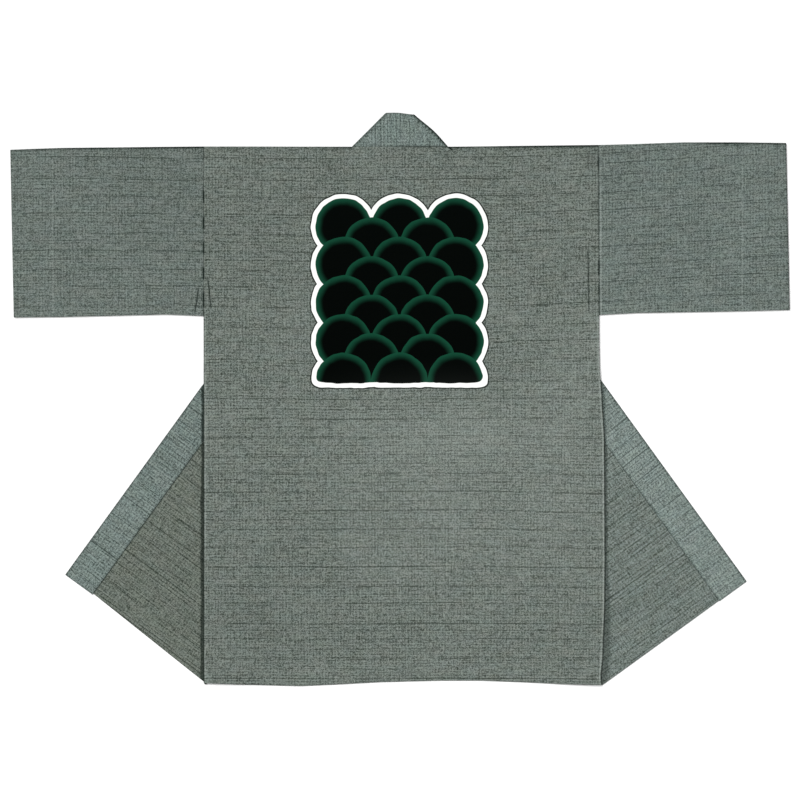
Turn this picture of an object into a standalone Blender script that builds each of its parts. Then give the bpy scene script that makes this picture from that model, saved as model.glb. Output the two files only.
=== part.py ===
"""Happi coat laid out flat on a surface, back up and collar towards +Y.

Each front is folded slantwise under itself, so its lower corner, with the end
of the collar band on it, lies out beside the back. Every piece starts as a flat
cut blank and is laid down by levels: level 0 is on the surface, level 1 lies
over a folded corner and level 2 lies over a front. The origin is on the surface
under the middle of the coat.
"""

import math
from collections import namedtuple

import bmesh
import bpy
from mathutils import Vector

# Driving dimensions, in metres

CLOTH = 0.0012
GAP = 0.0003

NECK_Y = 0.4044
NECK_HALF = 0.0770
COLLAR_WIDTH = 0.0540
HEM_Y = -0.4552
FOLD_ANGLE = math.radians(17.95)

# How the cloth comes down beside what it lies on
LEDGE = 0.0020
EDGE_DROP = 0.0240
CENTRE_DROP = 0.0800
CENTRE_DROP_SHARES = (0.0, 0.2, 0.4, 0.6, 0.8, 1.0)

# Small cuts that free the corner where back, front and collar meet
NECK_EASE_X = 0.0030
NECK_EASE_Y = 0.0020

# Size of a blank's cells, and how finely folds are rounded
CELL = 0.0650
FOLD_SEGMENTS = 8
SLEEVE_FLAT_SEGMENTS = 4

# Cuts snap to corners this near, and more finely on a round fold
CUT_SNAP = 0.0002
FOLD_CUT_SNAP = 0.00001

# Sizes worked out from the driving dimensions

STEP = CLOTH + GAP
FOLD_RADIUS = STEP / 2
FOLD_REACH = FOLD_RADIUS + CLOTH / 2
COLLAR_OUTER = NECK_HALF - COLLAR_WIDTH

# Sides of the coat as it lies. Columns: name, direction along X, distance from
# the middle to the foot of the slanting fold, rise of the shoulder from neck to
# armhole, height of the front's hem at its collar and at its side, the lowest
# that the folded front reaches, length of the collar band from the middle of the
# neck to its end, distance of the cuff from the middle at its top and its bottom.
Side = namedtuple(
    "Side",
    "name sign fold_foot shoulder_rise hem_at_collar hem_at_side lowest "
    "collar_end cuff_top cuff_bottom",
)
LEFT = Side("left", -1, 0.3090, 0.0004, -0.4446, -0.4556, -0.4556, 0.9280, 0.6232, 0.6176)
RIGHT = Side("right", 1, 0.3141, 0.0028, -0.4622, -0.4624, -0.4568, 0.9447, 0.6176, 0.6232)
SIDES = (LEFT, RIGHT)

# Side edges of the body. Columns: height, distance from the middle on the left
# and on the right.
BODY_EDGES = (
    (-0.4600, 0.3136, 0.3256),
    (-0.2570, 0.3136, 0.3274),
    (-0.0650, 0.3136, 0.3264),
    (0.0240, 0.3137, 0.3212),
    (0.0470, 0.3138, 0.3192),
    (0.1350, 0.3140, 0.3184),
    (0.4100, 0.3140, 0.3172),
)

# Hem of the back. Columns: X, height.
BACK_HEM = (
    (-0.3136, -0.4536),
    (-0.2560, -0.4560),
    (-0.1600, -0.4584),
    (-0.0880, -0.4552),
    (-0.0320, -0.4520),
    (0.0640, -0.4496),
    (0.1280, -0.4496),
    (0.1920, -0.4520),
    (0.2560, -0.4552),
    (0.3256, -0.4568),
)

# Long edges of the sleeves. Columns: share of the way from armhole to cuff,
# height of the upper and the lower edge on the left, then on the right.
SLEEVE_EDGES = (
    (0.00, 0.4048, 0.1336, 0.4072, 0.1352),
    (0.20, 0.4042, 0.1360, 0.4088, 0.1384),
    (0.45, 0.4034, 0.1342, 0.4114, 0.1396),
    (0.75, 0.4024, 0.1320, 0.4114, 0.1412),
    (1.00, 0.3996, 0.1312, 0.4104, 0.1432),
)

# Colour of the grey-green cotton, a little different from piece to piece
COTTON_COLOURS = {
    "back": 0x6F7C74,
    "front_left": 0x697068,
    "front_right": 0x6D7771,
    "sleeve_left": 0x6A736D,
    "sleeve_right": 0x6B7570,
    "collar": 0x758079,
}
COTTON_ROUGHNESS = 0.92


# Lines on the flat cloth

class Line:
    """A straight line with a normal; distances are positive on the normal's side."""

    def __init__(self, point, normal):
        self.point = Vector(point)
        self.normal = Vector(normal).normalized()

    def distance(self, place):
        return (place - self.point).dot(self.normal)

    def moved(self, distance):
        return Line(self.point + self.normal * distance, self.normal)

    def reflected_point(self, place):
        return place - 2 * self.distance(place) * self.normal

    def mirrored_in(self, mirror):
        foot = mirror.reflected_point(self.point)
        tip = mirror.reflected_point(self.point + self.normal)
        return Line(foot, tip - foot)


def slanting_fold(side):
    """The fold of a front, from its foot at the hem up to the neck; normal to the middle."""
    foot = (side.sign * side.fold_foot, HEM_Y)
    return Line(foot, (-side.sign * math.cos(FOLD_ANGLE), -math.sin(FOLD_ANGLE)))


def corner_edge(side):
    """The outer edge of the collar band on the folded corner; normal away from it."""
    front_edge = Line((side.sign * COLLAR_OUTER, NECK_Y), (-side.sign, 0))
    return front_edge.mirrored_in(slanting_fold(side))


def neck_fold(side):
    """Where the collar band turns from the back of the neck down a front."""
    return Line((side.sign * NECK_HALF, NECK_Y), (side.sign, 1))


def shoulder_fold(side):
    """Where the cloth runs over the shoulder; normal up."""
    length = body_edge(side, NECK_Y) - NECK_HALF
    return Line((side.sign * NECK_HALF, NECK_Y), (-side.sign * side.shoulder_rise, length))


# Tables and mixing

def mix(start, end, share):
    return start + (end - start) * share


def read_table(rows, key, column):
    """Value of a column at a key, straight between rows and level past the ends."""
    if key <= rows[0][0]:
        return rows[0][column]
    for before, after in zip(rows, rows[1:]):
        if key <= after[0]:
            share = (key - before[0]) / (after[0] - before[0])
            return mix(before[column], after[column], share)
    return rows[-1][column]


def side_at(x):
    return LEFT if x < 0 else RIGHT


def body_edge(side, height):
    """Distance of the body's side edge from the middle."""
    return read_table(BODY_EDGES, height, 1 if side is LEFT else 2)


def shoulder_height(x):
    """Height of the shoulder's fold, level across the neck."""
    side = side_at(x)
    share = (abs(x) - NECK_HALF) / (body_edge(side, NECK_Y) - NECK_HALF)
    return NECK_Y + side.shoulder_rise * max(share, 0)


# Heights of the levels

def edge_drop(distance):
    """Share of a step that is left at a distance outside a folded corner."""
    return min(max(1 - (distance - LEDGE) / EDGE_DROP, 0), 1)


def centre_drop(distance):
    """Share of the lift that is left at a distance inside the slanting fold."""
    share = min(max((distance - LEDGE) / CENTRE_DROP, 0), 1)
    return 1 - share * share * (3 - 2 * share)


def level_one(place):
    """Lift of a front where it lies over its own folded corner."""
    return STEP * edge_drop(corner_edge(side_at(place.x)).distance(place))


def level_two(place):
    """Lift of the back and of the neck's collar over the fronts."""
    lifts = []
    for side in SIDES:
        from_fold = slanting_fold(side).distance(place)
        from_collar = COLLAR_OUTER - side.sign * place.x
        over_corner = edge_drop(corner_edge(side).distance(place))
        lifts.append(STEP * (1 + over_corner) * centre_drop(max(from_fold, from_collar)))
    return max(lifts)


def height_at(place, level):
    """Height of the middle of the cloth; between two levels it is part way round a fold."""
    if level <= 1:
        return CLOTH / 2 + level * level_one(place)
    return CLOTH / 2 + mix(level_one(place), level_two(place), level - 1)


# Cutting, folding and laying blanks

def new_blank(width, height, place_at):
    """A sheet of even cells, shaped by a function of the shares across and up it."""
    blank = bmesh.new()
    bmesh.ops.create_grid(
        blank,
        x_segments=max(1, round(width / CELL)),
        y_segments=max(1, round(height / CELL)),
        size=0.5,
    )
    for corner in blank.verts:
        corner.co.xy = place_at(corner.co.x + 0.5, corner.co.y + 0.5)
    return blank


def faces_in(blank, where):
    return [face for face in blank.faces if where(face.calc_center_median().xy)]


def cut(blank, line, where, snap=CUT_SNAP):
    """Score the faces of a blank along a line, in the part of it that a test gives."""
    faces = faces_in(blank, where)
    edges = {edge for face in faces for edge in face.edges}
    corners = {corner for face in faces for corner in face.verts}
    bmesh.ops.bisect_plane(
        blank,
        geom=[*corners, *edges, *faces],
        dist=snap,
        plane_co=line.point.to_3d(),
        plane_no=line.normal.to_3d(),
    )


def cut_fold(blank, fold, where):
    """Score the round turn of a fold."""
    for index in range(FOLD_SEGMENTS + 1):
        offset = mix(-FOLD_REACH, FOLD_REACH, index / FOLD_SEGMENTS)
        cut(blank, fold.moved(offset), where, FOLD_CUT_SNAP)


def cut_edge_drop(blank, edge, where):
    """Score both ends of the slope beside a folded corner."""
    cut(blank, edge.moved(LEDGE), where)
    cut(blank, edge.moved(LEDGE + EDGE_DROP), where)


def cut_centre_drop(blank, edge, where):
    """Score the round slope inside the edge of a front."""
    for share in CENTRE_DROP_SHARES:
        cut(blank, edge.moved(LEDGE + share * CENTRE_DROP), where)


def trim_beyond(blank, line, where):
    """Cut along a line and take away what lies beyond it, in the part that a test gives."""
    cut(blank, line, where)
    beyond = faces_in(blank, lambda place: where(place) and line.distance(place) > 0)
    bmesh.ops.delete(blank, geom=beyond, context="FACES")


def fold_over(place, fold):
    """Turn a place round a fold; also gives how far down it has turned, 0 to 1."""
    reach = fold.distance(place)
    if reach <= -FOLD_REACH:
        return place, 0
    if reach >= FOLD_REACH:
        return fold.reflected_point(place), 1
    angle = math.pi * (reach + FOLD_REACH) / (2 * FOLD_REACH)
    bulge = FOLD_RADIUS * math.sin(angle) - FOLD_REACH
    return place + (bulge - reach) * fold.normal, (1 - math.cos(angle)) / 2


def lay(blank, level, folds_at):
    """Fold a scored blank from its level down and let each point down to its height."""
    bmesh.ops.triangulate(blank, faces=blank.faces)
    for corner in blank.verts:
        place = corner.co.xy
        turned = 0
        for fold in folds_at(corner.co.xy):
            place, turn = fold_over(place, fold)
            turned += turn
        corner.co = (place.x, place.y, height_at(place, level - turned))


# The pieces

def cotton(name):
    """Matt grey-green cotton."""
    colour = COTTON_COLOURS[name]
    shares = [(colour >> shift & 255) / 255 for shift in (16, 8, 0)]
    linear = [
        share / 12.92 if share <= 0.04045 else ((share + 0.055) / 1.055) ** 2.4
        for share in shares
    ]
    material = bpy.data.materials.new("cotton_" + name)
    material.use_nodes = True
    shader = material.node_tree.nodes["Principled BSDF"]
    shader.inputs["Base Color"].default_value = (*linear, 1)
    shader.inputs["Roughness"].default_value = COTTON_ROUGHNESS
    shader.inputs["Metallic"].default_value = 0
    return material


def finish_piece(name, blank, collection):
    """Give a laid blank its name, its material and the thickness of its wall."""
    mesh = bpy.data.meshes.new(name)
    blank.to_mesh(mesh)
    blank.free()
    mesh.shade_smooth()
    mesh.materials.append(cotton(name))
    piece = bpy.data.objects.new(name, mesh)
    collection.objects.link(piece)
    wall = piece.modifiers.new("wall", "SOLIDIFY")
    wall.thickness = CLOTH
    wall.offset = 0
    wall.use_even_offset = True
    wall.use_quality_normals = True


def back_place(across, up):
    """The back's outline, with its shoulder edges as far as the roll over them ends."""
    height = mix(HEM_Y, NECK_Y, up)
    x = mix(-body_edge(LEFT, height), body_edge(RIGHT, height), across)
    return x, mix(read_table(BACK_HEM, x, 1), shoulder_height(x) + FOLD_REACH, up)


def cut_neck(blank):
    """Cut the neck out of the back and ease its two corners."""
    tab_end = NECK_HALF + GAP
    seam = Line((0, NECK_Y - GAP / 2), (0, 1))
    for side in SIDES:
        end = Line((side.sign * tab_end, NECK_Y), (side.sign, 0))
        cut(blank, end, lambda place: place.y > NECK_Y - CELL)
    trim_beyond(blank, seam, lambda place: abs(place.x) < tab_end)
    for side in SIDES:
        ease = Line(
            (side.sign * tab_end, seam.point.y - NECK_EASE_Y),
            (side.sign * NECK_EASE_Y, NECK_EASE_X),
        )
        trim_beyond(blank, ease, lambda place: abs(place.x) < tab_end)


def make_back(collection):
    """The back, rolled over both shoulders and down to the fronts' level."""
    blank = new_blank(2 * BODY_EDGES[-1][1], NECK_Y - HEM_Y, back_place)
    cut_neck(blank)
    for side in SIDES:
        fold = slanting_fold(side)
        cut_centre_drop(blank, fold, lambda place: side_at(place.x) is side)
        cut_edge_drop(blank, corner_edge(side), lambda place: fold.distance(place) < LEDGE)
        cut_fold(blank, shoulder_fold(side), lambda place: side.sign * place.x > NECK_HALF)

    def folds_at(place):
        return [shoulder_fold(side_at(place.x))] if abs(place.x) > NECK_HALF else []

    lay(blank, 2, folds_at)
    finish_piece("back", blank, collection)


def make_front(side, collection):
    """A front, seamed to the back below the shoulder, with its lower corner folded under."""
    seam = FOLD_REACH + GAP

    def front_place(across, up):
        height = mix(side.hem_at_side, NECK_Y, up)
        from_middle = mix(NECK_HALF + GAP / 2, body_edge(side, height), across)
        x = side.sign * from_middle
        hem = mix(side.hem_at_collar, side.hem_at_side, across)
        return x, mix(hem, shoulder_height(x) - seam, up)

    blank = new_blank(body_edge(side, 0) - NECK_HALF, NECK_Y - HEM_Y, front_place)
    fold = slanting_fold(side)
    cut_fold(blank, fold, lambda place: True)
    lowest = Line((0, side.lowest), (0, -1))
    trim_beyond(blank, lowest, lambda place: fold.distance(place) < 0)
    trim_beyond(blank, lowest.mirrored_in(fold), lambda place: fold.distance(place) > 0)
    cut_edge_drop(blank, corner_edge(side), lambda place: fold.distance(place) < -FOLD_REACH)
    lay(blank, 1, lambda place: [fold])
    finish_piece("front_" + side.name, blank, collection)


def collar_place(across, up):
    """The collar band, drawn out straight along the back of the neck."""
    x = mix(-LEFT.collar_end, RIGHT.collar_end, across)
    return x, NECK_Y + mix(GAP / 2, COLLAR_WIDTH, up)


def make_collar(collection):
    """The collar band, turned down each front and folded under with its corner."""
    blank = new_blank(LEFT.collar_end + RIGHT.collar_end, COLLAR_WIDTH, collar_place)
    for side in SIDES:
        turn = neck_fold(side)
        fold = slanting_fold(side)
        edge = corner_edge(side)
        fold_on_band = fold.mirrored_in(turn)
        inner_edge = Line((side.sign * COLLAR_OUTER, NECK_Y), (-side.sign, 0))

        def at_neck(place):
            return side_at(place.x) is side and turn.distance(place) < 0

        def on_front(place):
            return turn.distance(place) > 0 and fold_on_band.distance(place) < 0

        cut_fold(blank, turn, lambda place: side_at(place.x) is side)
        cut_fold(blank, fold_on_band, lambda place: turn.distance(place) > 0)
        cut_edge_drop(blank, edge, at_neck)
        cut_edge_drop(blank, edge.mirrored_in(turn), on_front)
        cut_centre_drop(blank, fold, at_neck)
        cut_centre_drop(blank, inner_edge, at_neck)

    def folds_at(place):
        side = side_at(place.x)
        turn = neck_fold(side)
        if turn.distance(place) < FOLD_REACH:
            return [turn]
        return [turn, slanting_fold(side)]

    lay(blank, 2, folds_at)
    finish_piece("collar", blank, collection)


def sleeve_section(index, upper_edge, lower_edge):
    """Y and Z of a point on the flattened tube: its upper edge, underside, lower edge, top."""
    upper = upper_edge - FOLD_REACH
    lower = lower_edge + FOLD_REACH
    middle = CLOTH / 2 + STEP / 2
    if index < FOLD_SEGMENTS:
        angle = math.pi * (0.5 - index / FOLD_SEGMENTS)
        return upper + FOLD_RADIUS * math.cos(angle), middle + FOLD_RADIUS * math.sin(angle)
    index -= FOLD_SEGMENTS
    if index < SLEEVE_FLAT_SEGMENTS:
        return mix(upper, lower, index / SLEEVE_FLAT_SEGMENTS), middle - FOLD_RADIUS
    index -= SLEEVE_FLAT_SEGMENTS
    if index < FOLD_SEGMENTS:
        angle = math.pi * (index / FOLD_SEGMENTS - 0.5)
        return lower - FOLD_RADIUS * math.cos(angle), middle + FOLD_RADIUS * math.sin(angle)
    index -= FOLD_SEGMENTS
    return mix(lower, upper, index / SLEEVE_FLAT_SEGMENTS), middle + FOLD_RADIUS


def make_sleeve(side, collection):
    """A sleeve, a square tube pressed flat, open at armhole and cuff."""
    segments = 2 * (FOLD_SEGMENTS + SLEEVE_FLAT_SEGMENTS)
    upper_column = 1 if side is LEFT else 3
    tube = bmesh.new()
    bmesh.ops.create_cone(
        tube, cap_ends=False, segments=segments, radius1=1, radius2=1, depth=1
    )
    for row in SLEEVE_EDGES[1:-1]:
        bmesh.ops.bisect_plane(
            tube,
            geom=[*tube.verts, *tube.edges, *tube.faces],
            plane_co=(0, 0, row[0] - 0.5),
            plane_no=(0, 0, 1),
        )
    for corner in tube.verts:
        share = corner.co.z + 0.5
        turn = math.atan2(corner.co.y, corner.co.x) / math.tau
        upper_edge = read_table(SLEEVE_EDGES, share, upper_column)
        lower_edge = read_table(SLEEVE_EDGES, share, upper_column + 1)
        y, z = sleeve_section(round(turn * segments) % segments, upper_edge, lower_edge)
        cuff = mix(side.cuff_bottom, side.cuff_top, (y - lower_edge) / (upper_edge - lower_edge))
        corner.co = (side.sign * mix(body_edge(side, y) + GAP, cuff, share), y, z)
    finish_piece("sleeve_" + side.name, tube, collection)


def clear_scene():
    for thing in list(bpy.data.objects):
        bpy.data.objects.remove(thing, do_unlink=True)


def main():
    clear_scene()
    collection = bpy.data.collections.new("happi_coat")
    bpy.context.scene.collection.children.link(collection)
    make_back(collection)
    for side in SIDES:
        make_front(side, collection)
        make_sleeve(side, collection)
    make_collar(collection)


main()
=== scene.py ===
"""Happi coat laid out flat on a pale floor, seen from straight above.

Each cotton piece replaces its CAD solid with a finer shell. It is cut flat, folded and laid
down by the same levels, and then gets rounded seam edges, turned hems and soft creases.
"""

import math
from collections import namedtuple

import bmesh
import bpy
import numpy as np
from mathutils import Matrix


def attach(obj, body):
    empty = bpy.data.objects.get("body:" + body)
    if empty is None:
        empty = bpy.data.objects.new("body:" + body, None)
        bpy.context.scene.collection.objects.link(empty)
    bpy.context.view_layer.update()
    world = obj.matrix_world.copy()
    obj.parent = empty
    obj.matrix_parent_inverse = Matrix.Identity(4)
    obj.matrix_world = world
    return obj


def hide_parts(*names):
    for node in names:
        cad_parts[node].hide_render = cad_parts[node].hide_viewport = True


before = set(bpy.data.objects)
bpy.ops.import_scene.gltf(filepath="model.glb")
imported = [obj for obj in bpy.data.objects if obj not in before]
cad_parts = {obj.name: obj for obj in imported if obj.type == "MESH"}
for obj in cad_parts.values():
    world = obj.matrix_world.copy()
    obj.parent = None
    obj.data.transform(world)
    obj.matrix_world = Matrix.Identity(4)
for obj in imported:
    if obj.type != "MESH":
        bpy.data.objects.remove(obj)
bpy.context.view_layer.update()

# Sizes of the CAD model, in metres

CLOTH = 0.0012
GAP = 0.0003
NECK_Y = 0.4044
NECK_HALF = 0.077
COLLAR_WIDTH = 0.054
HEM_Y = -0.4552
FOLD_ANGLE = math.radians(17.95)
LEDGE = 0.002
EDGE_DROP = 0.024
CENTRE_DROP = 0.08
NECK_EASE_X = 0.003
NECK_EASE_Y = 0.002

STEP = CLOTH + GAP
FOLD_RADIUS = STEP / 2
FOLD_REACH = FOLD_RADIUS + CLOTH / 2
COLLAR_OUTER = NECK_HALF - COLLAR_WIDTH

Side = namedtuple(
    "Side",
    "name sign fold_foot shoulder_rise hem_at_collar hem_at_side lowest "
    "collar_end cuff_top cuff_bottom",
)
LEFT = Side("left", -1, 0.309, 0.0004, -0.4446, -0.4556, -0.4556, 0.928, 0.6232, 0.6176)
RIGHT = Side("right", 1, 0.3141, 0.0028, -0.4622, -0.4624, -0.4568, 0.9447, 0.6176, 0.6232)
SIDES = (LEFT, RIGHT)

# Side edges of the body. Columns: height, distance from the middle on the left and on the
# right. Above the hem the right one is drawn in, up to 5 mm inside the CAD model's edge.
BODY_EDGES = (
    (-0.46, 0.3136, 0.3236),
    (-0.452, 0.3136, 0.3216),
    (-0.44, 0.3136, 0.3208),
    (-0.416, 0.3136, 0.3234),
    (-0.385, 0.3136, 0.3246),
    (-0.33, 0.3136, 0.3268),
    (-0.257, 0.3136, 0.3274),
    (-0.065, 0.3136, 0.3264),
    (0.024, 0.3137, 0.3212),
    (0.047, 0.3138, 0.3192),
    (0.135, 0.314, 0.3184),
    (0.41, 0.314, 0.3172),
)

# Hem of the back. Columns: X, height.
BACK_HEM = (
    (-0.3136, -0.4536),
    (-0.256, -0.456),
    (-0.16, -0.4584),
    (-0.088, -0.4552),
    (-0.032, -0.452),
    (0.064, -0.4496),
    (0.128, -0.4496),
    (0.192, -0.452),
    (0.256, -0.4552),
    (0.3256, -0.4568),
)

# Long edges of the sleeves. Columns: share of the way from armhole to cuff,
# height of the upper and the lower edge on the left, then on the right.
SLEEVE_EDGES = (
    (0.0, 0.4048, 0.1336, 0.4072, 0.1352),
    (0.2, 0.4042, 0.136, 0.4088, 0.1384),
    (0.45, 0.4034, 0.1342, 0.4114, 0.1396),
    (0.75, 0.4024, 0.132, 0.4114, 0.1412),
    (1.0, 0.3996, 0.1312, 0.4104, 0.1432),
)

# Finer cloth

CELL = 0.005
EDGE_CELLS = (0.0, 0.0004, 0.0009, 0.0015, 0.0023, 0.0034, 0.0049, 0.0068, 0.0092)
FOLD_SEGMENTS = 8

# How much of the creases each level takes: the lowest cloth stays nearly flat
LEVEL_SHARES = ((0, 0.3), (1, 0.65), (2, 1.0))

# Rounded edges at seams, and turned hems
EDGE_ROUND = 0.004
BODY_PUFF = 0.0004
COLLAR_PUFF = 0.0006
HEM_TURN = 0.006
HEM_SOFT = 0.0006
HEM_RISE = 0.0003

# Where the back's side edge becomes the armhole seam, and how softly
ARMHOLE_FOOT = 0.125
ARMHOLE_BLEND = 0.012

# Size of a sleeve, and the height above which its creases need no finer cells
SLEEVE_LENGTH = 0.305
SLEEVE_DEPTH = 0.27
SLEEVE_FINE_TOP = 0.385
UNDER_CELLS = 50

# Finer cells beside the back's edge below the sleeves: from and to, past the edge, and up to
BESIDE_EDGE = (-0.003, 0.012)
BESIDE_TOP = 0.06

# The collar leans a little to the right behind the neck, and its top sinks there
NECK_BULGE = 0.0026
NECK_SAG = 0.0028

# The left front's side seam shows past the back's edge near the hem
LIP_WIDTH = 0.0048
LIP_TOP = -0.26
LIP_RAMP = 0.19
LIP_TAPER = 0.016

# Below its top here, a front is tucked in just under the back's edge
TUCK = -0.0008
TUCK_TOP = 0.12

# Puckers of the armhole seams; their depth also sets the painted shade in the seam. Columns:
# top, bottom, depth.
LEFT_PUCKERS = (
    (0.4024, 0.3752, 0.45),
    (0.3352, 0.3144, 1.0),
    (0.2936, 0.2728, 1.0),
    (0.252, 0.2312, 0.95),
    (0.212, 0.1912, 1.0),
    (0.172, 0.1464, 1.0),
    (0.1448, 0.1352, 0.8),
)
RIGHT_PUCKERS = (
    (0.388, 0.366, 0.85),
    (0.35, 0.25, 0.48),
    (0.2232, 0.1992, 0.95),
    (0.1832, 0.1672, 0.9),
    (0.166, 0.1352, 0.55),
)
SEAM_DEPTH = 0.25

# Creases of the cloth, with painted shade in them (below 0, a painted highlight). Columns:
# points, half width, rise of the cloth, darkening.
CREASES = (
    (((-0.0128, 0.458), (-0.0118, 0.429)), 0.001, -0.0002, 0.4),
    (((0.075, 0.4056), (0.0852, 0.3978)), 0.0013, -0.0002, 0.9),
    (((0.0704, 0.4024), (0.0784, 0.38), (0.0848, 0.3544)), 0.0022, -0.0003, 0.16),
    (((-0.0712, 0.4016), (-0.0776, 0.3832)), 0.0022, -0.0002, 0.06),
    (((0.1776, 0.2264), (0.1824, 0.2408), (0.2304, 0.2504)), 0.0018, 0.0002, 0.12),
    (((0.1728, 0.0488), (0.2112, 0.0488)), 0.0018, -0.0002, 0.1),
    (((0.3008, 0.2424), (0.3012, 0.19), (0.3024, 0.1352)), 0.001, -0.0004, 0.85),
    (((0.3008, 0.3992), (0.3008, 0.3672)), 0.001, -0.0004, 0.55),
    (((-0.336, 0.401), (-0.336, 0.3864)), 0.0014, -0.0003, 0.2),
    (((-0.3221, 0.182), (-0.3245, 0.16), (-0.3291, 0.1344)), 0.0012, -0.0004, 0.9),
    (((-0.308, 0.196), (-0.3048, 0.172), (-0.3022, 0.143)), 0.0012, -0.0004, 0.9),
    (((-0.3808, 0.1496), (-0.3616, 0.1432)), 0.0018, -0.0003, 0.14),
    (((-0.5552, 0.3992), (-0.556, 0.27), (-0.5544, 0.1352)), 0.0018, 0.0002, -0.06),
    (((0.5472, 0.4072), (0.548, 0.27), (0.5464, 0.144)), 0.0018, 0.0002, -0.06),
)

# Painted shade along the shoulders' fold. Columns: X, darkening.
SHOULDER_LINE = (
    (-0.28, 0.3),
    (-0.14, 0.35),
    (-0.08, 0.8),
    (0.08, 0.8),
    (0.13, 0.4),
    (0.17, 0.9),
    (0.3, 1.0),
)

# Painted shade along the top edge of a sleeve. Columns: share of the way from armhole to cuff,
# darkening on the left and on the right.
SLEEVE_LINE = (
    (0.0, 0.95, 0.1),
    (0.35, 0.85, 0.1),
    (0.42, 0.4, 0.25),
    (0.5, 0.85, 0.4),
    (0.6, 0.8, 0.85),
    (0.7, 0.8, 1.0),
    (0.77, 0.45, 0.8),
    (0.85, 0.75, 0.7),
    (1.0, 0.35, 0.6),
)

# On the left and on the right: tone of the collar on the folded corner, painted shade in its seam
# there and painted shadow on the cuff's edge; for the back's side edge, painted shade and half
# width of its dark line, and paleness and inset of the painted highlight strip inside it
CORNER_TONES = (0.08, -0.025)
SEAM_LINES = (0.8, 0.62)
CUFF_LINES = (0.25, 0.85)
EDGE_LINES = (0.8, 0.3)
EDGE_WIDTHS = (0.0009, 0.0006)
HIGHLIGHT_STRIPS = (0.12, 0.17)
HIGHLIGHT_INSETS = (0.0026, 0.0018)

# Shadow of the back on the folded corners: a dark line, and a band whose width and blur
# change below a height
Shadow = namedtuple("Shadow", "line band below width blur low_width low_blur")
LEFT_SHADOW = Shadow(0.93, 0.73, -0.06, 0.0042, 0.0014, 0.0056, 0.0014)
RIGHT_SHADOW = Shadow(0.82, 0.44, -0.24, 0.005, 0.0016, 0.0115, 0.006)
SHADOW_CHANGE = 0.14

# Broad, soft swells of the cloth. Columns: X, height, reach across, reach up, rise.
SWELLS = (
    (-0.23, 0.3, 0.06, 0.12, 0.0009),
    (-0.05, 0.33, 0.15, 0.05, 0.0006),
    (0.235, 0.305, 0.055, 0.1, 0.0009),
    (0.03, 0.03, 0.2, 0.05, 0.0007),
    (-0.205, 0.01, 0.08, 0.07, 0.0008),
    (0.04, -0.15, 0.17, 0.08, 0.001),
    (-0.19, -0.24, 0.09, 0.11, 0.0009),
    (0.23, -0.2, 0.07, 0.09, 0.0009),
    (0.0, -0.35, 0.15, 0.05, 0.0008),
    (-0.45, 0.27, 0.07, 0.08, 0.0008),
    (-0.57, 0.25, 0.05, 0.09, 0.0005),
    (0.43, 0.3, 0.08, 0.07, 0.0008),
    (0.56, 0.23, 0.05, 0.08, 0.0006),
    (-0.41, -0.23, 0.05, 0.08, 0.0006),
    (0.415, -0.24, 0.05, 0.08, 0.0006),
)
RUMPLE_BASE = 0.0006

# Broad patches of painted shade and painted light, partly uneven dye. Columns: X, height,
# reach across, reach up, darkening.
SHADE_AND_DYE_PATCHES = (
    (-0.4272, 0.2824, 0.06, 0.05, 0.05),
    (0.0, 0.43, 0.7, 0.16, 0.065),
    (-0.25, 0.25, 0.08, 0.1, 0.07),
    (0.1, -0.06, 0.18, 0.055, -0.045),
    (0.272, 0.015, 0.06, 0.08, -0.03),
    (0.06, -0.2, 0.15, 0.12, -0.03),
    (-0.25, -0.32, 0.11, 0.08, 0.08),
    (0.264, -0.1816, 0.07, 0.09, -0.03),
    (-0.12, -0.3736, 0.11, 0.035, 0.035),
    (-0.24, -0.43, 0.09, 0.04, 0.03),
    (0.3085, 0.3832, 0.006, 0.016, 0.2),
)

# Threads of the cotton, in metres. The real yarns are about 0.6 mm apart; they are drawn
# about two to three times as coarse, as wide as they need to be to show: the reach of a knot
# across and up, the tone of the cloth without its pattern, and the period and depth of the
# faint ribs that come along each axis.
KNOT = (0.0013, 0.0012)
EVEN_TONE = 0.57
RIBS = ((0.0049, 0.09), (0.0049, 0.1))

# Where in the endless weave a piece's threads lie, so that no two pieces look alike
FRONT_THREADS = 3.0
SLEEVE_THREADS = 6.0
COLLAR_THREADS = 9.0

# What the threads show, on the body's own cloth and on the slanting folded corners: depth of
# a knot, spots of the yarns and of the dye, and dark slub picks of the weft. Columns of the
# spots: reach across, reach up, depth. Columns of the picks: spacing, half width, length of a
# dash, darkening.
Weave = namedtuple("Weave", "knot_depth spots picks")
BODY_WEAVE = Weave(
    0.95,
    (
        (0.042, 0.0011, 0.46),
        (0.009, 0.0011, 0.6),
        (0.0011, 0.036, 0.44),
        (0.0011, 0.0065, 0.36),
        (0.11, 0.08, 0.1),
    ),
    (
        (0.0296, 0.0006, 0.07, 0.74),
        (0.0148, 0.0006, 0.05, 0.38),
        (0.0049, 0.0006, 0.03, 0.22),
    ),
)
CORNER_WEAVE = Weave(
    0.9,
    (
        (0.042, 0.0016, 0.32),
        (0.01, 0.0016, 0.34),
        (0.0018, 0.03, 0.18),
        (0.0017, 0.0016, 0.3),
        (0.11, 0.08, 0.06),
    ),
    (
        (0.0296, 0.0005, 0.09, 0.74),
        (0.0148, 0.0005, 0.07, 0.52),
        (0.0066, 0.0005, 0.06, 0.42),
    ),
)

# Drift of the dye to warmer and cooler: reach across and up, swing of red, green and blue
DYE_REACH = (0.04, 0.02)
DYE_DRIFT = (0.17, 0.02, 0.13)

# How far the weft strays from true. Columns: reach across, reach up, depth.
WEFT_SWAY = ((0.4, 0.4, 0.012), (0.09, 0.05, 0.0015))

# The weft's slant on the right: its share, where it begins, and its foot and ramp upwards
WEFT_SLANT = 0.048
SLANT_FROM = 0.16
SLANT_FOOT = -0.02
SLANT_RAMP = 0.22

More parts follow.
